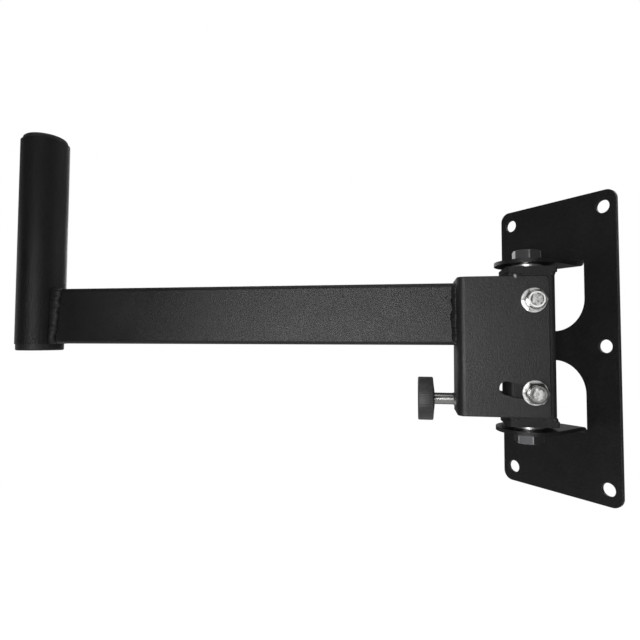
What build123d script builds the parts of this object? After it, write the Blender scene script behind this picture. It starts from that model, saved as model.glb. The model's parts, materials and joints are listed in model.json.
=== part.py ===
from build123d import *
import os

# Sizes in millimetres. The wall is the XZ plane, +Z is up, and the bracket stands out towards -Y.
# The origin is the middle of the wall plate's back face.

# Wall plate
plate_width = 90.0
plate_height = 210.0
plate_sheet = 2.5
plate_corner = 7.0
screw_pitch_x = 72.0
screw_pitch_z = 188.0
screw_hole = 9.0
fold_radius = 2.5
ear_width = 43.0
window_kerf = 1.0
window_bridge = 21.0
edge_break = 0.5

# Swivel axis
pivot_reach = 35.0
swivel_rest = 43.0

# Swivel post
post_side = 30.0
post_wall = 2.5
post_corner = 3.0
post_length = 106.0
end_plate = 4.0
end_plate_overhang = 1.2
post_bead = 3.0

# Pivot bolts, M10
pivot_d = 10.0
pivot_flats = 17.0
pivot_head = 6.4
upper_head_turn = 30.0
lower_head_turn = 35.0
pivot_bolt_length = 20.0
pivot_nut = 8.0
pivot_washer_d = 20.0
pivot_washer = 1.6
spacer_d = 20.0
spacer = 2.0

# Yoke
yoke_sheet = 3.0
yoke_bend = 5.2
yoke_corner = 3.0
yoke_front = 48.5
yoke_back = 10.0
yoke_height = 92.7

# Tilt bolt and clamp bolt, M8
bolt_d = 8.0
bolt_flats = 13.0
bolt_head = 5.3
bolt_length = 50.0
bolt_washer_d = 16.0
bolt_washer = 1.6
bolt_spacing = 60.0
nut_hex = 6.0
nut_collar = 2.0
nut_collar_d = 11.8
insert_d = 10.4
insert = 1.6
slot_width = 9.0
slot_back_angle = 1.0
slot_front_angle = 17.0

# Thumb screw, M8
thumb_drop = 37.0
thumb_nut = 8.0
knob_d = 30.0
knob = 10.5
knob_stand = 15.5
knob_edge = 0.8
hub_d = 13.0
hub = 1.5
knob_socket = 8.0

# Arm
arm_width = 16.0
arm_height = 43.0
arm_wall = 2.0
arm_corner = 3.0
arm_base = 0.4
arm_bead = 4.0

# Speaker pole and its caps
pole_reach = 373.5
pole_d = 35.0
pole_wall = 2.0
pole_length = 162.5
pole_bead = 5.0
pole_bead_taper = 22.0
cap_plug = 12.0
cap_wall = 2.0
top_cap = 4.3
top_cap_inset = 1.5
top_cap_round = 2.2
bottom_cap = 5.0
bottom_cap_inset = 0.7
bottom_cap_round = 1.2

# Clearances
running = 0.05
loose = 0.2
slide_gap = 0.5
tip_gap = 0.3
bead_land = 0.5

# Levels and faces that follow from the sizes above
ear_inner = post_length / 2 + spacer
ear_outer = ear_inner + plate_sheet
fold_z = ear_outer + fold_radius
fold_y = plate_sheet + fold_radius
window_half = ear_width / 2 + window_kerf
yoke_half = post_side / 2 + slide_gap + yoke_sheet
bolt_level = bolt_spacing / 2
arm_level = arm_base + arm_height / 2
pole_base = 0.0
through = 400.0

# Swivel frame: X runs out along the arm, Y towards the nut side of the yoke, Z up the post
swivel = Location((0, -pivot_reach, 0), (0, 0, -90 - swivel_rest))
toward_nuts = (-90, 0, 0)
toward_heads = (90, 0, 0)
along_arm = (0, 90, 0)
upside_down = (180, 0, 0)


def rod(diameter, length):
    return Cylinder(diameter / 2, length, align=(Align.CENTER, Align.CENTER, Align.MIN))


def ring(diameter, bore, thick):
    return rod(diameter, thick) - rod(bore, thick)


def hexagon(flats, height):
    return extrude(RegularPolygon(flats / 2, 6, major_radius=False), height)


def hex_head(flats, height):
    corner_round = rod(flats * 1.155, height)
    corner_round = chamfer(corner_round.edges().sort_by(Axis.Z)[-1:], flats * 0.045, flats * 0.09)
    return hexagon(flats, height) & corner_round


def hex_bolt(diameter, flats, head, length):
    shank = rod(diameter, length)
    shank = chamfer(shank.edges().sort_by(Axis.Z)[-1:], diameter * 0.1)
    return hex_head(flats, head) + Rot(*upside_down) * shank


def hex_nut(diameter, flats, height):
    return hex_head(flats, height) - rod(diameter + 2 * running, height)


def wall_plate():
    flat = Rot(90, 0, 0) * extrude(RectangleRounded(plate_width, plate_height, plate_corner), plate_sheet)
    for x in (-screw_pitch_x / 2, screw_pitch_x / 2):
        for z in (-screw_pitch_z / 2, 0, screw_pitch_z / 2):
            flat -= plate_hole(x, z)
    flat = fillet(flat.faces().sort_by(Axis.Y)[0].edges(), edge_break)
    for side in (1, -1):
        flat -= mirror_z(plate_window(), side)
    for side in (1, -1):
        flat += mirror_z(plate_ear(), side)
    return flat


def mirror_z(shape, side):
    return shape if side > 0 else mirror(shape, about=Plane.XY)


def plate_hole(x, z):
    return Pos(x, 0, z) * Rot(90, 0, 0) * Cylinder(screw_hole / 2, 3 * plate_sheet)


def plate_window():
    round_level = window_bridge / 2 + window_half
    straight = fold_z - round_level
    opening = Pos(0, round_level) * Circle(window_half)
    opening += Pos(0, round_level + straight / 2) * Rectangle(2 * window_half, straight)
    return Rot(90, 0, 0) * extrude(opening, 2 * plate_sheet, both=True)


def plate_ear():
    ear = Pos(0, -pivot_reach) * Circle(ear_width / 2)
    ear += Pos(0, -(pivot_reach + fold_y) / 2) * Rectangle(ear_width, pivot_reach - fold_y)
    ear -= Pos(0, -pivot_reach) * Circle(pivot_d / 2 + running)
    ear = Pos(0, 0, ear_inner) * extrude(ear, plate_sheet)
    bend = Circle(fold_radius + plate_sheet) - Circle(fold_radius)
    bend &= Rectangle(2 * fold_z, 2 * fold_z, align=(Align.MIN, Align.MAX))
    bend = extrude(Plane.YZ * Pos(-fold_y, fold_z) * bend, ear_width / 2, both=True)
    return ear + bend


def post_tube():
    section = RectangleRounded(post_side, post_side, post_corner)
    bore = post_side - 2 * post_wall
    section -= RectangleRounded(bore, bore, post_corner - post_wall)
    tube = extrude(section, post_length / 2 - end_plate, both=True)
    for level in (bolt_level, -bolt_level):
        tube -= Pos(0, 0, level) * Rot(*toward_nuts) * Cylinder(bolt_d / 2 + loose, 2 * post_side)
    return tube


def post_end_plate():
    depth = post_side + 2 * end_plate_overhang
    plate = Box(depth, post_side, end_plate, align=(Align.CENTER, Align.CENTER, Align.MAX))
    plate = fillet(plate.edges().filter_by(Axis.Z), end_plate_overhang)
    plate -= Rot(*upside_down) * rod(pivot_d + 2 * loose, end_plate)
    return Pos(0, 0, post_length / 2) * plate


def post_end_bead(way):
    corner = Polygon((0, 0), (end_plate_overhang, 0), (0, -post_bead), align=None)
    bead = extrude(Plane.XZ * corner, post_side / 2 - post_corner, both=True)
    bead = Pos(post_side / 2, 0, post_length / 2 - end_plate) * bead
    return bead if way > 0 else mirror(bead, about=Plane.YZ)


def post_welds():
    beads = []
    for way in (1, -1):
        upper = post_end_bead(way)
        beads += [upper, mirror(upper, about=Plane.XY)]
    return Compound(beads)


def pivot_stack(head_turn):
    top = post_length / 2
    head_seat = ear_outer + pivot_washer
    nut_base = top - end_plate - pivot_nut
    bolt = hex_bolt(pivot_d, pivot_flats, pivot_head, pivot_bolt_length)
    return {
        "pivot_bolt": Location((0, 0, head_seat), (0, 0, head_turn)) * bolt,
        "pivot_washer": Pos(0, 0, ear_outer) * ring(pivot_washer_d, pivot_d + 2 * loose, pivot_washer),
        "pivot_spacer": Pos(0, 0, top) * ring(spacer_d, pivot_d + 2 * loose, spacer),
        "pivot_nut": Pos(0, 0, nut_base) * hex_nut(pivot_d, pivot_flats, pivot_nut),
    }


def yoke():
    depth = yoke_front + yoke_back
    front = (Align.MAX, Align.CENTER)
    outside = Pos(yoke_front, 0) * Rectangle(depth, 2 * yoke_half, align=front)
    outside = fillet(outside.vertices().group_by(Axis.X)[-1], yoke_bend)
    block = extrude(outside, yoke_height / 2, both=True)
    block = fillet(block.edges().filter_by(Axis.Y).group_by(Axis.X)[0], yoke_corner)
    rim = block.edges().group_by(Axis.Z)[-1] + block.edges().group_by(Axis.Z)[0]
    block = fillet(rim, edge_break)
    inner_half = yoke_half - yoke_sheet
    inside = Pos(yoke_front - yoke_sheet, 0) * Rectangle(depth, 2 * inner_half, align=front)
    inside = fillet(inside.vertices().group_by(Axis.X)[-1], yoke_bend - yoke_sheet)
    channel = block - extrude(inside, yoke_height, both=True)
    channel -= Pos(0, 0, bolt_level) * Rot(*toward_nuts) * Cylinder(bolt_d / 2 + running, 3 * yoke_half)
    channel -= clamp_slot()
    channel -= Pos(yoke_front, 0, -thumb_drop) * Rot(*along_arm) * Cylinder(bolt_d / 2 + running, 3 * yoke_sheet)
    return channel


def clamp_slot():
    sweep = slot_back_angle + slot_front_angle
    path = CenterArc((0, bolt_level), bolt_spacing, -90 - slot_back_angle, sweep)
    return extrude(Plane.XZ * SlotArc(path, slot_width), 2 * yoke_half, both=True)


def flange_stack(level):
    washer_face = yoke_half + running
    head_seat = Location((0, -washer_face - bolt_washer, level), toward_heads)
    head_side = Location((0, -washer_face, level), toward_heads)
    nut_side = Location((0, washer_face, level), toward_nuts)
    nut_seat = Location((0, washer_face + bolt_washer, level), toward_nuts)
    washer = ring(bolt_washer_d, bolt_d + 2 * loose, bolt_washer)
    return {
        "bolt": head_seat * hex_bolt(bolt_d, bolt_flats, bolt_head, bolt_length),
        "head_washer": head_side * washer,
        "nut_washer": nut_side * washer,
        "nut": nut_seat * lock_nut(),
        "nut_insert": nut_seat * lock_insert(),
    }


def lock_nut():
    collar = rod(nut_collar_d, nut_hex + nut_collar)
    collar = fillet(collar.edges().sort_by(Axis.Z)[-1:], nut_collar / 4)
    body = hex_head(bolt_flats, nut_hex) + collar
    body -= rod(bolt_d + 2 * running, nut_hex + nut_collar)
    return body - Pos(0, 0, nut_hex) * rod(insert_d, nut_collar)


def lock_insert():
    return Pos(0, 0, nut_hex) * ring(insert_d, bolt_d + 2 * running, insert)


def thumb_weld_nut():
    inner_face = yoke_front - yoke_sheet
    return Location((inner_face - thumb_nut, 0, -thumb_drop), along_arm) * hex_nut(bolt_d, bolt_flats, thumb_nut)


def thumb_screw():
    tip = post_side / 2 + tip_gap
    length = yoke_front + knob_stand + knob_socket - tip
    shank = rod(bolt_d, length)
    shank = fillet(shank.edges().sort_by(Axis.Z)[:1], bolt_d / 2 - running)
    return Location((tip, 0, -thumb_drop), along_arm) * shank


def thumb_knob():
    disc = rod(knob_d, knob)
    disc = fillet(disc.edges().filter_by(GeomType.CIRCLE), knob_edge)
    disc += Pos(0, 0, -hub) * rod(hub_d, hub)
    disc -= Pos(0, 0, -hub) * rod(bolt_d + 2 * running, hub + knob_socket)
    return Location((yoke_front + knob_stand, 0, -thumb_drop), along_arm) * disc


def arm_section(grow):
    return RectangleRounded(arm_height + 2 * grow, arm_width + 2 * grow, arm_corner + grow)


def arm_prism(section, start, length, taper=0):
    return Location((start, 0, arm_level), along_arm) * extrude(section, length, taper=taper)


def pole_cylinder():
    return Pos(pole_reach, 0, 0) * Cylinder(pole_d / 2, through)


def arm_tube():
    tube = arm_prism(arm_section(0) - arm_section(-arm_wall), yoke_front, pole_reach - yoke_front)
    return tube - pole_cylinder()


def arm_root_weld():
    bead = arm_prism(arm_section(arm_bead), yoke_front, arm_bead - bead_land, taper=45)
    bead -= arm_prism(arm_section(0), yoke_front, arm_bead)
    beside_arm = Box(2 * arm_bead, 2 * yoke_half, arm_height - 2 * bead_land)
    return bead & Pos(yoke_front, 0, arm_level) * beside_arm


def pole_weld():
    reach = pole_d / 2 + pole_bead
    length = reach - pole_d / 4
    bead = arm_prism(arm_section(bead_land), pole_reach - reach, length, taper=-pole_bead_taper)
    bead -= arm_prism(arm_section(0), pole_reach - reach, length)
    bead -= pole_cylinder()
    above_arm_base = Box(2 * reach, 2 * reach, through, align=(Align.MAX, Align.CENTER, Align.MIN))
    return bead & Pos(pole_reach, 0, arm_base) * above_arm_base


def speaker_pole():
    return Pos(pole_reach, 0, pole_base) * ring(pole_d, pole_d - 2 * pole_wall, pole_length)


def pole_cap(depth, inset, edge_round):
    head = rod(pole_d - 2 * inset, depth)
    head = fillet(head.edges().sort_by(Axis.Z)[-1:], edge_round)
    plug_d = pole_d - 2 * pole_wall - 2 * running
    return head + Pos(0, 0, -cap_plug) * ring(plug_d, plug_d - 2 * cap_wall, cap_plug)


def pole_top_cap():
    return Pos(pole_reach, 0, pole_base + pole_length) * pole_cap(top_cap, top_cap_inset, top_cap_round)


def pole_bottom_cap():
    cap = pole_cap(bottom_cap, bottom_cap_inset, bottom_cap_round)
    return Location((pole_reach, 0, pole_base), upside_down) * cap


def swivel_nodes():
    nodes = {
        "post_tube": post_tube(),
        "post_top_plate": post_end_plate(),
        "post_bottom_plate": mirror(post_end_plate(), about=Plane.XY),
        "post_welds": post_welds(),
        "yoke": yoke(),
        "thumb_weld_nut": thumb_weld_nut(),
        "thumb_screw": thumb_screw(),
        "thumb_knob": thumb_knob(),
        "arm_tube": arm_tube(),
        "arm_root_weld": arm_root_weld(),
        "pole_weld": pole_weld(),
        "speaker_pole": speaker_pole(),
        "pole_top_cap": pole_top_cap(),
        "pole_bottom_cap": pole_bottom_cap(),
    }
    for name, piece in pivot_stack(upper_head_turn).items():
        nodes["upper_" + name] = piece
    for name, piece in pivot_stack(lower_head_turn).items():
        nodes["lower_" + name] = mirror(piece, about=Plane.XY)
    for name, piece in flange_stack(bolt_level).items():
        nodes["tilt_" + name] = piece
    for name, piece in flange_stack(-bolt_level).items():
        nodes["clamp_" + name] = piece
    return nodes


os.makedirs("parts", exist_ok=True)
export_step(wall_plate(), "parts/wall_plate.step")
for node, shape in swivel_nodes().items():
    export_step(swivel * shape, f"parts/{node}.step")
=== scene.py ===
import bpy
import bmesh
import json
import math
from mathutils import Matrix, Vector, noise


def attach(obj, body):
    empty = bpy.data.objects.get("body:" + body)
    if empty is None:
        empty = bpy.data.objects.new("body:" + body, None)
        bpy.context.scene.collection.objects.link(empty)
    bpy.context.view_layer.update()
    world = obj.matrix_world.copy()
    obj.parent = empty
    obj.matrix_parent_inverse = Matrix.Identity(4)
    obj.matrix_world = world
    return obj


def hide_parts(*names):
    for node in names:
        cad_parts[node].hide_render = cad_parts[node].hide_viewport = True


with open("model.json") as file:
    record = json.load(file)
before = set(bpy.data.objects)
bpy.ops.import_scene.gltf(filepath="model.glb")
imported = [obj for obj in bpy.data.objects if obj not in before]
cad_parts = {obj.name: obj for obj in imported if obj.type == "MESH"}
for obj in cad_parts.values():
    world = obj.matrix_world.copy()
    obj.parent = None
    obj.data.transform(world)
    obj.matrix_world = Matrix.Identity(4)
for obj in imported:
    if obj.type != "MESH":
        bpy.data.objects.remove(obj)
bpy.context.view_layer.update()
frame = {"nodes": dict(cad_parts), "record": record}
nodes = frame["nodes"]
scene = bpy.context.scene
mm = 0.001
samePoint = 0.002 * mm
sameHeight = 0.01 * mm
print("frame loaded:", len(nodes), "nodes")

# swivel frame: x out along the arm, y towards the nuts, z up the post
swivel = {"reach": 35 * mm, "restTurn": 43}
pivotAt = (0, -swivel["reach"], 0)
upward = (0, 0, 1)
onSwivel = Matrix.Translation(pivotAt) @ Matrix.Rotation(math.radians(-90 - swivel["restTurn"]), 4, "Z")
armWay = onSwivel.to_3x3() @ Vector((1, 0, 0))


class Wire:
    # a socket of a node tree; + - * on it add Math nodes
    def __init__(self, tree, socket=None):
        self.tree = tree
        self.socket = socket

    def node(self, kind, settings=None, inputs=None, output=0):
        made = self.tree.nodes.new(kind)
        for name, value in (settings or {}).items():
            setattr(made, name, value)
        for name, value in (inputs or {}).items():
            if isinstance(value, Wire):
                self.tree.links.new(value.socket, made.inputs[name])
            else:
                made.inputs[name].default_value = value
        return Wire(self.tree, made.outputs[output])

    def sum(self, operation, first, second):
        return self.node("ShaderNodeMath", {"operation": operation}, {0: first, 1: second})

    def __add__(self, other):
        return self.sum("ADD", self, other)

    def __radd__(self, other):
        return self.sum("ADD", other, self)

    def __sub__(self, other):
        return self.sum("SUBTRACT", self, other)

    def __rsub__(self, other):
        return self.sum("SUBTRACT", other, self)

    def __mul__(self, other):
        return self.sum("MULTIPLY", self, other)

    def __rmul__(self, other):
        return self.sum("MULTIPLY", other, self)

    def vector(self, operation, other=None, output=0):
        inputs = {0: self} if other is None else {0: self, 1: other}
        return self.node("ShaderNodeVectorMath", {"operation": operation}, inputs, output)

    def grain(self, scale, detail=2.0, rough=0.5, stretch=(1, 1, 1)):
        # noise between 0 and 1, scale in cells per metre
        at = self.node("ShaderNodeMapping", {}, {"Vector": self, "Scale": stretch})
        return self.node("ShaderNodeTexNoise", {},
                         {"Vector": at, "Scale": scale, "Detail": detail, "Roughness": rough})

    def ease(self, low, high):
        return self.node("ShaderNodeMapRange", {"interpolation_type": "SMOOTHSTEP"},
                         {"Value": self, "From Min": low, "From Max": high})

    def tint(self, first, second):
        return self.node("ShaderNodeMix", {"data_type": "RGBA"}, {0: self, 6: first, 7: second}, 2)

    def facing(self, way):
        return self.vector("DOT_PRODUCT", way, "Value")

    def fromAxis(self, point, way):
        # distance of the shaded point from a line
        return self.vector("SUBTRACT", point).vector("CROSS_PRODUCT", way).vector("LENGTH", output="Value")

    def alongWay(self, point, way):
        # distance of the shaded point from another one, along a direction
        return self.vector("SUBTRACT", point).facing(way)

    def relief(self, depth):
        return self.node("ShaderNodeBump", {}, {"Height": self, "Distance": depth})


def newFinish(name, constants):
    material = bpy.data.materials.new(name)
    material.use_nodes = True
    tree = material.node_tree
    shader = tree.nodes["Principled BSDF"]
    for socket, value in constants.items():
        shader.inputs[socket].default_value = value
    place = Wire(tree).node("ShaderNodeTexCoord", output="Object")

    def feed(**wires):
        for socket, wire in wires.items():
            tree.links.new(wire.socket, shader.inputs[socket.replace("_", " ")])
    return material, place, feed


powderCoat = {
    "deep": (0.0045, 0.0045, 0.0046, 1),
    "thin": (0.0105, 0.0105, 0.0107, 1),
    "specular": 0.22,
    "roughness": 0.42,
    "fleck": 1350,        # fine texture of the coat, per metre
    "peel": 480,          # orange peel
    "cloud": 28,          # uneven spraying
    "fleckTone": 0.45,    # shares of the three in the colour
    "peelTone": 0.25,
    "cloudTone": 0.3,
    "toneFrom": (0.34, 0.68),
    "cloudRough": 0.16,   # swing of the roughness
    "fleckRough": 0.22,
    "peelShare": 0.08,    # of the relief, the rest is fleck
    "depth": 0.26 * mm,
}
# the post comes out flatter, and dull in front where its ends are welded
postCoat = dict(powderCoat, specular=0.15, roughness=0.5,
                dullWay=armWay, dullFrom=(14.3 * mm, 14.9 * mm), dull=0.5)
# the yoke has more orange peel and a dull web
yokeCoat = dict(powderCoat, peel=620, peelShare=0.3, depth=0.3 * mm,
                dullWay=armWay, dullFrom=(47.5 * mm, 48.4 * mm), dull=0.25)
# the arm's coat runs smoother towards the pole
armCoat = dict(powderCoat, calmFrom=(140 * mm, 330 * mm), calm=0.75)
# the pole is duller in its upper half, and its coat is a darker copy: painted shade
poleCoatPaintedShade = dict(powderCoat, deep=(0.0032, 0.0032, 0.0033, 1), thin=(0.0078, 0.0078, 0.008, 1),
                dullWay=upward, dullFrom=(70 * mm, 125 * mm), dull=0.15)
# the plate's coat is a darker copy of the same coat: painted shade
plateCoatPaintedShade = dict(powderCoat, deep=(0.0018, 0.0018, 0.0019, 1), thin=(0.0056, 0.0056, 0.0058, 1),
                 specular=0.17)
# over the weld beads the coat is thick and lumpy, with little fleck
beadLook = {"peel": 300, "peelShare": 0.7, "depth": 0.14 * mm}
softBeadLook = dict(beadLook, depth=0.06 * mm)


def powderCoatFinish(name, look):
    material, at, feed = newFinish(name, {"Specular IOR Level": look["specular"]})
    fleck = at.grain(look["fleck"], detail=3.0, rough=0.6)
    if "calm" in look:
        calm = at.alongWay(pivotAt, armWay).ease(*look["calmFrom"]) * look["calm"]
        fleck = 0.5 + (fleck - 0.5) * (1 - calm)
    peel = at.grain(look["peel"])
    cloud = at.grain(look["cloud"], detail=3.0, rough=0.55)
    tone = fleck * look["fleckTone"] + peel * look["peelTone"] + cloud * look["cloudTone"]
    rough = look["roughness"] + (cloud - 0.5) * look["cloudRough"] + (fleck - 0.5) * look["fleckRough"]
    if "dull" in look:
        rough = rough + at.alongWay(pivotAt, look["dullWay"]).ease(*look["dullFrom"]) * look["dull"]
    height = fleck * (1 - look["peelShare"]) + peel * look["peelShare"]
    feed(Base_Color=tone.ease(*look["toneFrom"]).tint(look["deep"], look["thin"]), Roughness=rough,
         Normal=height.relief(look["depth"]))
    return material


brightZinc = {
    "bright": (0.36, 0.36, 0.355, 1),
    "dull": (0.22, 0.22, 0.216, 1),
    "edge": (0.5, 0.5, 0.5, 1),
    "roughness": 0.19,
    "mottle": 500,
    "scratch": 1800,
    "scratchStretch": (1, 1, 0.12),
    "scratchFilm": 0.3,     # share in the plating's film, the rest is mottle
    "filmFrom": (0.35, 0.65),
    "filmRough": 0.14,      # swing of the roughness
    "scratchRough": 0.1,
    "scratchShare": 0.4,    # of the relief, the rest is mottle
    "depth": 0.012 * mm,
}
# washers are duller than the nuts, bolt ends blotched, the stud even and dark: painted shade that dims its
# reflections and edges
dullZinc = dict(brightZinc, bright=(0.6, 0.6, 0.593, 1), dull=(0.34, 0.34, 0.335, 1),
                roughness=0.4, depth=0.03 * mm)
boltZinc = dict(dullZinc, bright=(0.7, 0.7, 0.69, 1), dull=(0.15, 0.15, 0.148, 1),
                mottle=520, depth=0.05 * mm)
# the upper nut's plating is a lighter copy, painted light, and the lower nut's is a darker copy, painted shade
upperNutZincPaintedLight = dict(brightZinc, bright=(0.62, 0.62, 0.61, 1), dull=(0.4, 0.4, 0.395, 1))
lowerNutZincPaintedShade = dict(brightZinc, bright=(0.28, 0.28, 0.276, 1), dull=(0.17, 0.17, 0.167, 1))
studZincPaintedShade = dict(brightZinc, bright=(0.22, 0.22, 0.217, 1), dull=(0.19, 0.19, 0.187, 1),
                edge=(0.08, 0.08, 0.08, 1), roughness=0.3, mottle=160, depth=0.0006 * mm)


def zincFinish(name, look):
    material, at, feed = newFinish(name, {"Metallic": 1.0, "Specular Tint": look["edge"]})
    mottle = at.grain(look["mottle"], detail=4.0, rough=0.6)
    scratch = at.grain(look["scratch"], stretch=look["scratchStretch"])
    film = mottle * (1 - look["scratchFilm"]) + scratch * look["scratchFilm"]
    film = film.ease(*look["filmFrom"])
    rough = look["roughness"] + (0.5 - film) * look["filmRough"] + (scratch - 0.5) * look["scratchRough"]
    height = mottle * (1 - look["scratchShare"]) + scratch * look["scratchShare"]
    feed(Base_Color=film.tint(look["dull"], look["bright"]), Roughness=rough,
         Normal=height.relief(look["depth"]))
    return material


darkBolt = {
    "dark": (0.078, 0.079, 0.082, 1),
    "worn": (0.24, 0.24, 0.238, 1),
    "corner": (9.3 * mm, 9.75 * mm),   # distance from the pivot axis at which the hex corners are
    "cornerWear": 0.35,
    "patches": 0.3,
    "wearFrom": (0.05, 0.95),
    "roughness": 0.36,
    "mottle": 700,
    "mottleRough": 0.25,
    "depth": 0.03 * mm,
}
# the lower bolt's head is a darker copy of the bolt finish: painted shade over its highlight
lowerBoltPaintedShade = dict(darkBolt, dark=(0.059, 0.06, 0.062, 1), worn=(0.15, 0.15, 0.149, 1))


def darkBoltFinish(name, look):
    material, at, feed = newFinish(name, {"Metallic": 1.0})
    mottle = at.grain(look["mottle"], detail=4.0, rough=0.6)
    corner = at.fromAxis(pivotAt, upward).ease(*look["corner"])
    wear = corner * (look["cornerWear"] + mottle) + (mottle - 0.5) * look["patches"]
    rough = look["roughness"] + (mottle - 0.5) * look["mottleRough"]
    feed(Base_Color=wear.ease(*look["wearFrom"]).tint(look["dark"], look["worn"]), Roughness=rough,
         Normal=mottle.relief(look["depth"]))
    return material


clearNylon = {
    "deep": (0.1, 0.1, 0.097, 1),
    "rubbed": (0.18, 0.18, 0.175, 1),
    "specular": 0.5,
    "roughness": 0.4,
    "grain": 900,
    "cloud": 0.08,          # coarse clouds, their scale as a share of the grain's
    "cloudTone": 0.5,       # share in the colour, the rest is grain
    "toneFrom": (0.36, 0.64),
    "cloudRough": 0.2,      # swing of the roughness
    "grainRough": 0.12,
    "depth": 0.02 * mm,
}
paleNylon = dict(clearNylon, deep=(0.42, 0.42, 0.41, 1), rubbed=(0.62, 0.62, 0.605, 1))
mouldedKnob = dict(clearNylon, deep=(0.0075, 0.0075, 0.0079, 1), rubbed=(0.0235, 0.0235, 0.0242, 1),
                   specular=0.34, roughness=0.5, grain=1300, depth=0.04 * mm)
mouldedCap = dict(clearNylon, deep=(0.014, 0.014, 0.0144, 1), rubbed=(0.03, 0.03, 0.0306, 1),
                  specular=0.2, roughness=0.5, grain=800, depth=0.03 * mm)


def plasticFinish(name, look):
    material, at, feed = newFinish(name, {"Specular IOR Level": look["specular"]})
    grain = at.grain(look["grain"], detail=3.0, rough=0.55)
    cloud = at.grain(look["grain"] * look["cloud"])
    tone = grain * (1 - look["cloudTone"]) + cloud * look["cloudTone"]
    rough = look["roughness"] + (cloud - 0.5) * look["cloudRough"] + (grain - 0.5) * look["grainRough"]
    feed(Base_Color=tone.ease(*look["toneFrom"]).tint(look["deep"], look["rubbed"]), Roughness=rough,
         Normal=grain.relief(look["depth"]))
    return material


finishes = {
    "powder_coat": powderCoatFinish("blackPowderCoat", powderCoat),
    "bright_zinc": zincFinish("brightZinc", brightZinc),
    "dark_bolt": darkBoltFinish("darkBolt", darkBolt),
    "knob": plasticFinish("knobPlastic", mouldedKnob),
    "cap": plasticFinish("capPlastic", mouldedCap),
    "nylon": plasticFinish("lockNylon", clearNylon),
}
beadCoat = powderCoatFinish("beadPowderCoat", dict(powderCoat, roughness=0.4, **beadLook))
poleBeadCoat = powderCoatFinish("poleBeadCoat", dict(powderCoat, roughness=0.52, **softBeadLook))
postBeadCoat = powderCoatFinish("postBeadCoat", dict(postCoat, **beadLook))
postFinish = powderCoatFinish("postPowderCoat", postCoat)
boltPlating = zincFinish("boltZinc", boltZinc)
dullPlating = zincFinish("dullZinc", dullZinc)
studPlatingPaintedShade = zincFinish("studZincPaintedShade", studZincPaintedShade)
ownFinishes = {
    "wall_plate": powderCoatFinish("platePowderCoatPaintedShade", plateCoatPaintedShade),
    "post_tube": postFinish,
    "post_top_plate": postFinish,
    "post_bottom_plate": postFinish,
    "yoke": powderCoatFinish("yokePowderCoat", yokeCoat),
    "arm_tube": powderCoatFinish("armPowderCoat", armCoat),
    "speaker_pole": powderCoatFinish("polePowderCoatPaintedShade", poleCoatPaintedShade),
    "lower_pivot_bolt": darkBoltFinish("lowerBoltPaintedShade", lowerBoltPaintedShade),
    "tilt_bolt": boltPlating,
    "clamp_bolt": boltPlating,
    "tilt_nut": zincFinish("upperNutZincPaintedLight", upperNutZincPaintedLight),
    "clamp_nut": zincFinish("lowerNutZincPaintedShade", lowerNutZincPaintedShade),
    "tilt_nut_insert": plasticFinish("upperNylon", paleNylon),
}
for row in frame["record"]["subparts"]:
    mesh = nodes[row["node"]].data
    finish = finishes[row["material_slot"]]
    if row["material_slot"] == "bright_zinc" and not row["node"].endswith("nut"):
        finish = dullPlating
    mesh.materials.clear()
    mesh.materials.append(ownFinishes.get(row["node"], finish))
print("finishes:", len(bpy.data.materials))


def finishPiece(bm, name, material, body, standsFor=(), place=onSwivel, sharpAngle=80):
    bmesh.ops.remove_doubles(bm, verts=bm.verts[:], dist=samePoint)
    bmesh.ops.recalc_face_normals(bm, faces=bm.faces[:])
    bmesh.ops.transform(bm, matrix=place, verts=bm.verts[:])
    mesh = bpy.data.meshes.new(name)
    bm.to_mesh(mesh)
    bm.free()
    mesh.materials.append(material)
    mesh.shade_smooth()
    mesh.set_sharp_from_angle(angle=math.radians(sharpAngle))
    piece = bpy.data.objects.new(name, mesh)
    scene.collection.objects.link(piece)
    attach(piece, body)
    if standsFor:
        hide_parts(*standsFor)


armBox = {"halfWide": 8 * mm, "halfTall": 21.5 * mm, "corner": 3 * mm, "level": 21.9 * mm}


def roundArm(share):
    # a point of the arm's outline as (nut side, up), its outward direction, and the distance run so far
    around = 2 * (2 * armBox["halfWide"] + 2 * armBox["halfTall"] - (4 - math.pi) * armBox["corner"])
    along = share % 1 * around
    run = along
    bend = math.pi / 2 * armBox["corner"]
    for side in range(4):
        angle = side * math.pi / 2
        out = Vector((math.cos(angle), math.sin(angle)))
        way = Vector((-out.y, out.x))
        reach, flat = armBox["halfWide"], 2 * (armBox["halfTall"] - armBox["corner"])
        if side % 2:
            reach, flat = armBox["halfTall"], 2 * (armBox["halfWide"] - armBox["corner"])
        if run <= flat:
            return out * reach + way * (run - flat / 2), out, along
        run -= flat
        if run <= bend or side == 3:
            turned = angle + run / armBox["corner"]
            face = Vector((math.cos(turned), math.sin(turned)))
            return out * (reach - armBox["corner"]) + way * flat / 2 + face * armBox["corner"], face, along
        run -= bend


# how every weld bead wanders
lumps = {"skew": 0.37, "fine": 0.5, "finePitch": 2.7, "fineSeed": 5, "waver": 0.4, "waverSeed": 9, "middle": 0.6}


def wobble(along, seed, pitch):
    return noise.noise(Vector((along / pitch, seed, seed * lumps["skew"])))


def beadGrowth(bead, along, seed):
    pitch = bead["raggedPitch"]
    lump = wobble(along, seed, pitch)
    lump += lumps["fine"] * wobble(along, seed + lumps["fineSeed"], pitch / lumps["finePitch"])
    waver = lumps["waver"] * wobble(along, seed + lumps["waverSeed"], pitch)
    ripple = abs(math.sin(math.pi * (along / bead["ripplePitch"] + waver)))
    return 1 + bead["ragged"] * lump + bead["ripple"] * (ripple - lumps["middle"])


def beadShare(vert):
    # place of a vertex along a bead that starts as a sphere, -1 to 1
    return math.asin(max(-1, min(1, vert.co.z))) * 2 / math.pi


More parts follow.
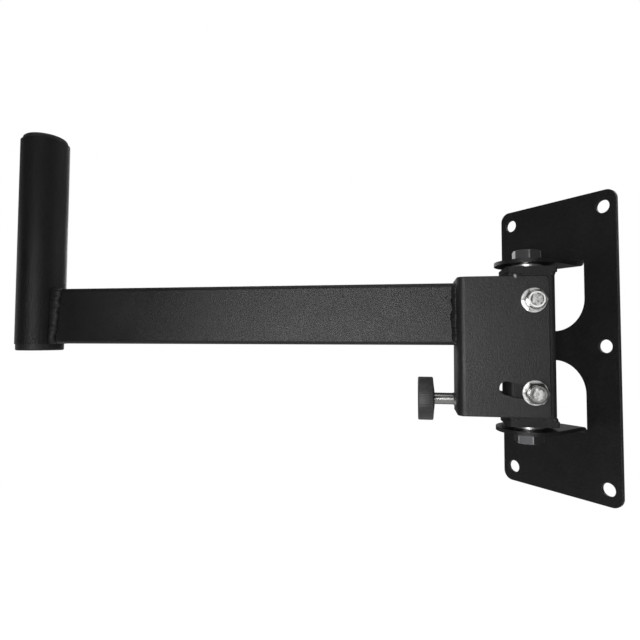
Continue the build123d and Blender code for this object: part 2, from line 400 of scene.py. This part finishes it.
def swell(turn, flat):
    # a bead's round section, flattened between its two legs
    return 1 - flat * math.sin(2 * turn) ** 2


rootBead = {"web": 48.5 * mm, "half": 20.8 * mm, "alongArm": 3.3 * mm, "outward": 3.3 * mm, "flat": 0.14,
            "inside": 0.35, "ends": 8, "ragged": 0.42, "ripple": 0.1, "ripplePitch": 2.3 * mm,
            "raggedPitch": 6 * mm, "outSeed": 3.1, "armSeed": 11.7, "ring": 22, "steps": 110}


def rootSection(turn):
    # out from the corner and along the arm; the half inside the metal stays thin
    size = swell(turn, rootBead["flat"])
    out, along = math.cos(turn) * size, math.sin(turn) * size
    return out * (1 if out > 0 else rootBead["inside"]), along * (1 if along > 0 else rootBead["inside"])


bm = bmesh.new()
for side in (1, -1):
    made = bmesh.ops.create_uvsphere(bm, u_segments=rootBead["ring"], v_segments=rootBead["steps"], radius=1)
    for vert in made["verts"]:
        share = beadShare(vert)
        offOut, offAlong = rootSection(math.atan2(vert.co.y, vert.co.x))
        up = share * rootBead["half"]
        taper = (1 - abs(share) ** rootBead["ends"]) ** 0.5
        offOut *= taper * rootBead["outward"] * beadGrowth(rootBead, up, rootBead["outSeed"] + side)
        offAlong *= taper * rootBead["alongArm"] * beadGrowth(rootBead, up, rootBead["armSeed"] + side)
        vert.co = (rootBead["web"] + offAlong, side * (armBox["halfWide"] + offOut), armBox["level"] + up)
finishPiece(bm, "armRootBead", beadCoat, "arm", ["arm_root_weld"])

poleBead = {"pole": 373.5 * mm, "radius": 17.5 * mm, "alongArm": 4.6 * mm, "proud": 2.3 * mm, "off": 2.4 * mm,
            "slant": 2.55 * mm, "sunk": 1 * mm, "inside": 0.3, "ragged": 0.36, "ripple": 0.06,
            "ripplePitch": 3.2 * mm, "raggedPitch": 6.5 * mm, "armSeed": 29.9, "outSeed": 21.3,
            "lowest": 0.15 * mm, "acrossTop": 0.3, "steps": 260, "ring": 18}


def poleFace(side):
    return poleBead["pole"] - math.sqrt(poleBead["radius"] ** 2 - side ** 2)


# its crest climbs away from the pole
bm = bmesh.new()
bmesh.ops.create_grid(bm, x_segments=poleBead["steps"], y_segments=poleBead["ring"], size=0.5)
for vert in bm.verts:
    spot, out, along = roundArm(vert.co.x + 0.5)
    turn = (vert.co.y + 0.5) * 2 * math.pi
    share = poleBead["acrossTop"] + (1 - poleBead["acrossTop"]) * abs(out.x)
    crest = share * (poleBead["off"] + poleBead["slant"] * spot.y / armBox["halfTall"])
    deep = crest + poleBead["sunk"]
    if turn < math.pi:
        deep = share * poleBead["alongArm"] * beadGrowth(poleBead, along, poleBead["armSeed"])
    proud = math.cos(turn) * share * poleBead["proud"] * beadGrowth(poleBead, along, poleBead["outSeed"])
    reach = poleFace(spot.x) - crest - math.sin(turn) * deep
    spot = spot + out * (proud if proud > 0 else proud * poleBead["inside"])
    vert.co = (reach, spot.x, max(armBox["level"] + spot.y, poleBead["lowest"]))
finishPiece(bm, "poleBead", poleBeadCoat, "arm", ["pole_weld"])

postBead = {"face": 15 * mm, "plate": 49 * mm, "half": 12.8 * mm, "outward": 1.2 * mm, "downPost": 3.3 * mm,
            "flat": 0.25, "inside": 0.4, "ends": 4, "ragged": 0.3, "ripple": 0.12, "ripplePitch": 2.4 * mm,
            "raggedPitch": 5 * mm, "seed": 40, "endSeed": 7, "sideSeed": 3, "ring": 18, "steps": 40}
bm = bmesh.new()
for end in (1, -1):
    for side in (1, -1):
        made = bmesh.ops.create_uvsphere(bm, u_segments=postBead["ring"], v_segments=postBead["steps"], radius=1)
        seed = postBead["seed"] + postBead["endSeed"] * end + postBead["sideSeed"] * side
        for vert in made["verts"]:
            share = beadShare(vert)
            turn = math.atan2(vert.co.y, vert.co.x)
            along = share * postBead["half"]
            size = (1 - abs(share) ** postBead["ends"]) ** 0.5 * beadGrowth(postBead, along, seed)
            size *= swell(turn, postBead["flat"])
            out = math.cos(turn) * size * postBead["outward"]
            drop = math.sin(turn) * size * postBead["downPost"]
            drop = drop if drop > 0 else drop * postBead["inside"]
            vert.co = (side * (postBead["face"] + out), along, end * (postBead["plate"] - drop))
finishPiece(bm, "postEndBeads", postBeadCoat, "swivel", ["post_welds"])

# drops of weld spatter under the coat: place along the arm, to the nuts and up, with the size
spatter = {"swivel": [(7.2, 15.0, 47.6, 0.6), (5.1, 15.0, 48.2, 0.45), (9.6, 14.8, -47.6, 0.9),
                      (13.2, 13.8, 47.9, 2.0), (10.6, 14.3, 48.3, 1.4), (13.1, 13.8, -48.0, 2.0),
                      (-13.0, 13.8, 47.9, 1.9), (-13.2, 13.8, -47.8, 2.0), (13.0, -13.8, 48.0, 1.9),
                      (-13.1, -13.8, -48.0, 1.8), (-6.4, 15.0, -48.1, 0.5), (4.2, -15.0, 47.4, 0.7),
                      (-8.1, -14.8, -47.2, 0.8)],
           "arm": [(54.6, 8.0, 33.5, 0.45), (57.2, 8.0, 14.2, 0.35), (349.4, 8.0, 30.1, 0.5),
                   (346.1, 8.0, 12.8, 0.4), (55.8, -8.0, 25.7, 0.5), (348.0, -8.0, 20.4, 0.45)],
           "lump": 0.25, "squeeze": (1, 0.7, 1.1)}
for body, coat in (("swivel", postBeadCoat), ("arm", beadCoat)):
    bm = bmesh.new()
    for count, (reach, side, height, size) in enumerate(spatter[body]):
        made = bmesh.ops.create_icosphere(bm, subdivisions=3, radius=size * mm)
        for vert in made["verts"]:
            vert.co *= 1 + spatter["lump"] * noise.noise(vert.co / (size * mm) + Vector((count, 0, 0)))
        bmesh.ops.scale(bm, vec=spatter["squeeze"], verts=made["verts"])
        bmesh.ops.translate(bm, vec=Vector((reach, side, height)) * mm, verts=made["verts"])
    finishPiece(bm, body + "Spatter", coat, body)

# one drop stuck on the yoke's edge, not coated
bareDrop = {"at": (11.0, 18.2, 46.1), "size": 1.4 * mm, "lump": 0.35, "seed": (6.3, 1.7, 0)}
bareZinc = dict(studZincPaintedShade, bright=(0.27, 0.27, 0.266, 1), dull=(0.22, 0.22, 0.217, 1),
                roughness=0.62, depth=0.1 * mm)
bm = bmesh.new()
bmesh.ops.create_icosphere(bm, subdivisions=4, radius=bareDrop["size"])
for vert in bm.verts:
    vert.co *= 1 + bareDrop["lump"] * noise.noise(vert.co / bareDrop["size"] + Vector(bareDrop["seed"]))
bmesh.ops.translate(bm, vec=Vector(bareDrop["at"]) * mm, verts=bm.verts[:])
finishPiece(bm, "bareDrop", zincFinish("bareDrop", bareZinc), "arm")
print("weld beads and spatter done")

knob = {"from": 64 * mm, "thick": 10.5 * mm, "radius": 15 * mm, "ridges": 84, "ridgeSides": 4,
        "ridgeDepth": 0.16 * mm, "edge": 0.8 * mm, "edgeSteps": 3, "hubRadius": 6 * mm, "hubFoot": 13.4 * mm,
        "hub": 0.9 * mm, "hubSides": 64, "level": -37 * mm, "rim": 2.2 * mm, "dish": 0.5 * mm}
# thumb screw's frame: z along the arm
onScrew = onSwivel @ Matrix.Translation((0, 0, knob["level"])) @ Matrix.Rotation(math.pi / 2, 4, "Y")
bm = bmesh.new()
ring = bmesh.ops.create_circle(bm, cap_ends=True, segments=knob["ridges"] * knob["ridgeSides"],
                               radius=knob["radius"])["verts"]
for vert in ring:
    turn = math.atan2(vert.co.y, vert.co.x) * knob["ridges"]
    vert.co *= 1 - knob["ridgeDepth"] / knob["radius"] * (0.5 - 0.5 * math.cos(turn))
bmesh.ops.translate(bm, vec=(0, 0, knob["from"]), verts=bm.verts[:])
lid = bmesh.ops.extrude_face_region(bm, geom=bm.faces[:])["geom"]
lid = [part for part in lid if isinstance(part, bmesh.types.BMVert)]
bmesh.ops.translate(bm, vec=(0, 0, knob["thick"]), verts=lid)
rims = [edge for edge in bm.edges if abs(edge.verts[0].co.z - edge.verts[1].co.z) < sameHeight]
bmesh.ops.bevel(bm, geom=rims, offset=knob["edge"], segments=knob["edgeSteps"], affect="EDGES",
                profile=0.5, material=-1)
for face in [face for face in bm.faces if len(face.verts) > knob["ridges"]]:
    bmesh.ops.inset_region(bm, faces=[face], thickness=knob["rim"])
    outer = face.calc_center_median().z > knob["from"] + knob["thick"] / 2
    bmesh.ops.translate(bm, vec=(0, 0, -knob["dish"] if outer else 0), verts=face.verts[:])
bm.normal_update()
hub = bmesh.ops.create_cone(bm, cap_ends=True, segments=knob["hubSides"], radius1=knob["hubRadius"],
                            radius2=knob["hubFoot"], depth=knob["hub"])["verts"]
bmesh.ops.translate(bm, vec=(0, 0, knob["from"] - knob["hub"] / 2), verts=hub)
finishPiece(bm, "knurledKnob", finishes["knob"], "thumb", ["thumb_knob"], place=onScrew, sharpAngle=40)

# threaded inside the yoke, plain from the web to the knob
screw = {"tip": 15.3 * mm, "end": 71 * mm, "radius": 4 * mm, "root": 3.72 * mm, "core": 3.66 * mm,
         "pitch": 1.25 * mm, "crest": 0.35 * mm, "valley": 0.2 * mm, "steps": 28, "threadFrom": 19 * mm,
         "plainFrom": 46.5 * mm, "intoCore": 0.9, "sides": 56, "nose": 3.3 * mm, "noseSteps": 10}
bm = bmesh.new()
slope = (screw["pitch"] - screw["crest"] - screw["valley"]) / 2
profile = [(screw["radius"], 0), (screw["radius"], screw["crest"]), (screw["root"], screw["crest"] + slope),
           (screw["root"], screw["crest"] + slope + screw["valley"]), (screw["radius"], screw["pitch"])]
line = [bm.verts.new((out, 0, screw["threadFrom"] + up)) for out, up in profile]
edges = [bm.edges.new(pair) for pair in zip(line, line[1:])]
turns = round((screw["plainFrom"] - screw["threadFrom"]) / screw["pitch"])
bmesh.ops.spin(bm, geom=line + edges, cent=(0, 0, 0), axis=upward, angle=turns * 2 * math.pi,
               steps=turns * screw["steps"], dvec=(0, 0, screw["pitch"] / screw["steps"]), use_merge=False)
bmesh.ops.remove_doubles(bm, verts=bm.verts[:], dist=samePoint)
# the thread's open edges go into the core and are closed there
ends = bmesh.ops.extrude_edge_only(bm, edges=[edge for edge in bm.edges if edge.is_boundary])["geom"]
ends = [part for part in ends if isinstance(part, bmesh.types.BMVert)]
inward = screw["intoCore"] * screw["core"] / screw["radius"]
bmesh.ops.scale(bm, vec=(inward, inward, 1), verts=ends)
bmesh.ops.holes_fill(bm, edges=[edge for edge in bm.edges if edge.is_boundary], sides=0)
for radius, low in ((screw["core"], screw["tip"]), (screw["radius"], screw["plainFrom"])):
    rod = bmesh.ops.create_cone(bm, cap_ends=True, segments=screw["sides"], radius1=radius, radius2=radius,
                                depth=screw["end"] - low)["verts"]
    bmesh.ops.translate(bm, vec=(0, 0, (screw["end"] + low) / 2), verts=rod)
nose = [edge for edge in bm.edges if all(abs(vert.co.z - screw["tip"]) < sameHeight for vert in edge.verts)]
bmesh.ops.bevel(bm, geom=nose, offset=screw["nose"], segments=screw["noseSteps"], affect="EDGES",
                profile=0.5, material=-1)
finishPiece(bm, "thumbStud", studPlatingPaintedShade, "thumb", ["thumb_screw"], place=onScrew, sharpAngle=40)

# flare of the weld nut round the stud where it comes out of the web
flare = {"from": 48.4 * mm, "deep": 1.9 * mm, "wide": 5.15 * mm, "narrow": 4.08 * mm, "sides": 64}
bm = bmesh.new()
bmesh.ops.create_cone(bm, cap_ends=True, segments=flare["sides"], radius1=flare["wide"],
                      radius2=flare["narrow"], depth=flare["deep"])
bmesh.ops.translate(bm, vec=(0, 0, flare["from"] + flare["deep"] / 2), verts=bm.verts[:])
finishPiece(bm, "nutFlare", studPlatingPaintedShade, "arm", place=onScrew, sharpAngle=35)
print("thumb screw done")

# camera at the photograph's place, frame 640 x 640
photoView = {"place": (203.345, -330.743, 5.071), "right": (0.56405552, 0.82573442, 0.00201103),
             "up": (0.03533061, -0.02656725, 0.99902249), "lens": 27.377, "sensor": 36,
             "shift": (-0.0297, -0.0053), "nearest": 10 * mm}
cameraData = bpy.data.cameras.new("photoView")
cameraData.lens = photoView["lens"]
cameraData.sensor_width = photoView["sensor"]
cameraData.shift_x, cameraData.shift_y = photoView["shift"]
cameraData.clip_start = photoView["nearest"]
camera = bpy.data.objects.new("photoView", cameraData)
scene.collection.objects.link(camera)
right, up = Vector(photoView["right"]), Vector(photoView["up"])
back = right.cross(up)
turned = Matrix((right, up, back)).transposed().to_4x4()
camera.matrix_world = Matrix.Translation(Vector(photoView["place"]) * mm) @ turned
scene.camera = camera

paleFloor = {"at": (-0.1, -0.15, -0.45), "radius": 0.9, "sides": 96, "colour": (0.85, 0.85, 0.85, 1),
             "roughness": 0.9, "white": 0.8, "glow": 1.15}
bm = bmesh.new()
bmesh.ops.create_circle(bm, cap_ends=True, segments=paleFloor["sides"], radius=paleFloor["radius"])
bmesh.ops.translate(bm, vec=paleFloor["at"], verts=bm.verts[:])
floorMesh = bpy.data.meshes.new("paleFloor")
bm.to_mesh(floorMesh)
bm.free()
floor = bpy.data.objects.new("paleFloor", floorMesh)
scene.collection.objects.link(floor)


def rays(tree, *kinds):
    # 1 for the rays of these kinds, 0 for others
    found = [Wire(tree).node("ShaderNodeLightPath", output=kind) for kind in kinds]
    seen = found[0]
    for more in found[1:]:
        seen = seen.sum("MAXIMUM", seen, more)
    return seen


floorMaterial = bpy.data.materials.new("paleFloor")
floorMaterial.use_nodes = True
tree = floorMaterial.node_tree
shader = tree.nodes["Principled BSDF"]
shader.inputs["Base Color"].default_value = paleFloor["colour"]
shader.inputs["Roughness"].default_value = paleFloor["roughness"]
painted = Wire(tree, shader.outputs[0])
glow = Wire(tree).node("ShaderNodeEmission", {}, {"Color": (1, 1, 1, 1), "Strength": paleFloor["glow"]})
shown = rays(tree, "Is Camera Ray", "Is Glossy Ray", "Is Transmission Ray")
whiten = glow.node("ShaderNodeMixShader", {}, {0: shown * paleFloor["white"], 1: painted, 2: glow})
tree.links.new(whiten.socket, tree.nodes["Material Output"].inputs["Surface"])
floorMesh.materials.append(floorMaterial)

# in reflections: a white backdrop high behind the bracket, pale walls to its right and to the left in front,
# and a dark room elsewhere
studio = {"fill": 0.2, "room": 0.04, "backdropFrom": (0.84, 0.97), "backdropRise": 21,
          "side": 0.34, "sideFrom": (0.35, 0.95),
          "frontLeft": 0.6, "frontLeftWay": (-0.9, -0.42, 0.1), "frontLeftFrom": (0.76, 1.0)}
world = bpy.data.worlds.new("studioRoom")
scene.world = world
world.use_nodes = True
tree = world.node_tree
tree.nodes.clear()
lookWay = Wire(tree).node("ShaderNodeTexCoord", output="Generated")
rise = math.radians(studio["backdropRise"])
toBackdrop = lookWay.facing(up * math.sin(rise) - back * math.cos(rise))
toSide = lookWay.facing(right)
toFrontLeft = lookWay.facing(Vector(studio["frontLeftWay"]).normalized())
mirrored = rays(tree, "Is Glossy Ray", "Is Transmission Ray")
shown = rays(tree, "Is Camera Ray")
shown = shown.sum("MAXIMUM", shown, mirrored * toBackdrop.ease(*studio["backdropFrom"]))
dim = studio["room"] + toSide.ease(*studio["sideFrom"]) * studio["side"]
dim = dim + toFrontLeft.ease(*studio["frontLeftFrom"]) * studio["frontLeft"]
light = mirrored * dim + (1 - mirrored) * studio["fill"]
light = light * (1 - shown) + shown
lit = Wire(tree).node("ShaderNodeBackground", {}, {"Color": (1, 1, 1, 1), "Strength": light})
output = tree.nodes.new("ShaderNodeOutputWorld")
tree.links.new(lit.socket, output.inputs["Surface"])

lamps = {
    "key": {"at": (0.455, -0.815, -0.045), "aim": (0.0, -0.06, 0.0), "size": 0.36, "spread": 64, "watts": 1.38},
    "top": {"at": (0.1, -0.5, 1.5), "aim": (-0.05, -0.1, 0.0), "size": 1.3, "spread": 180, "watts": 9.0},
    "left": {"at": (-1.2, 0.1, 0.35), "aim": (-0.1, -0.1, 0.0), "size": 0.7, "spread": 180, "watts": 3.6},
    "back": {"at": (0.15, 1.15, 0.7), "aim": (-0.1, -0.1, 0.0), "size": 0.8, "spread": 180, "watts": 4.5},
}
for name, lamp in lamps.items():
    lampData = bpy.data.lights.new(name + "Lamp", "AREA")
    lampData.shape = "DISK"
    lampData.size = lamp["size"]
    lampData.spread = math.radians(lamp["spread"])
    lampData.energy = lamp["watts"]
    stand = bpy.data.objects.new(name + "Lamp", lampData)
    scene.collection.objects.link(stand)
    stand.location = lamp["at"]
    aim = Vector(lamp["aim"]) - Vector(lamp["at"])
    stand.rotation_euler = aim.to_track_quat("-Z", "Y").to_euler()
    stand.visible_camera = False
scene.view_settings.view_transform = "Standard"
print("studio done")
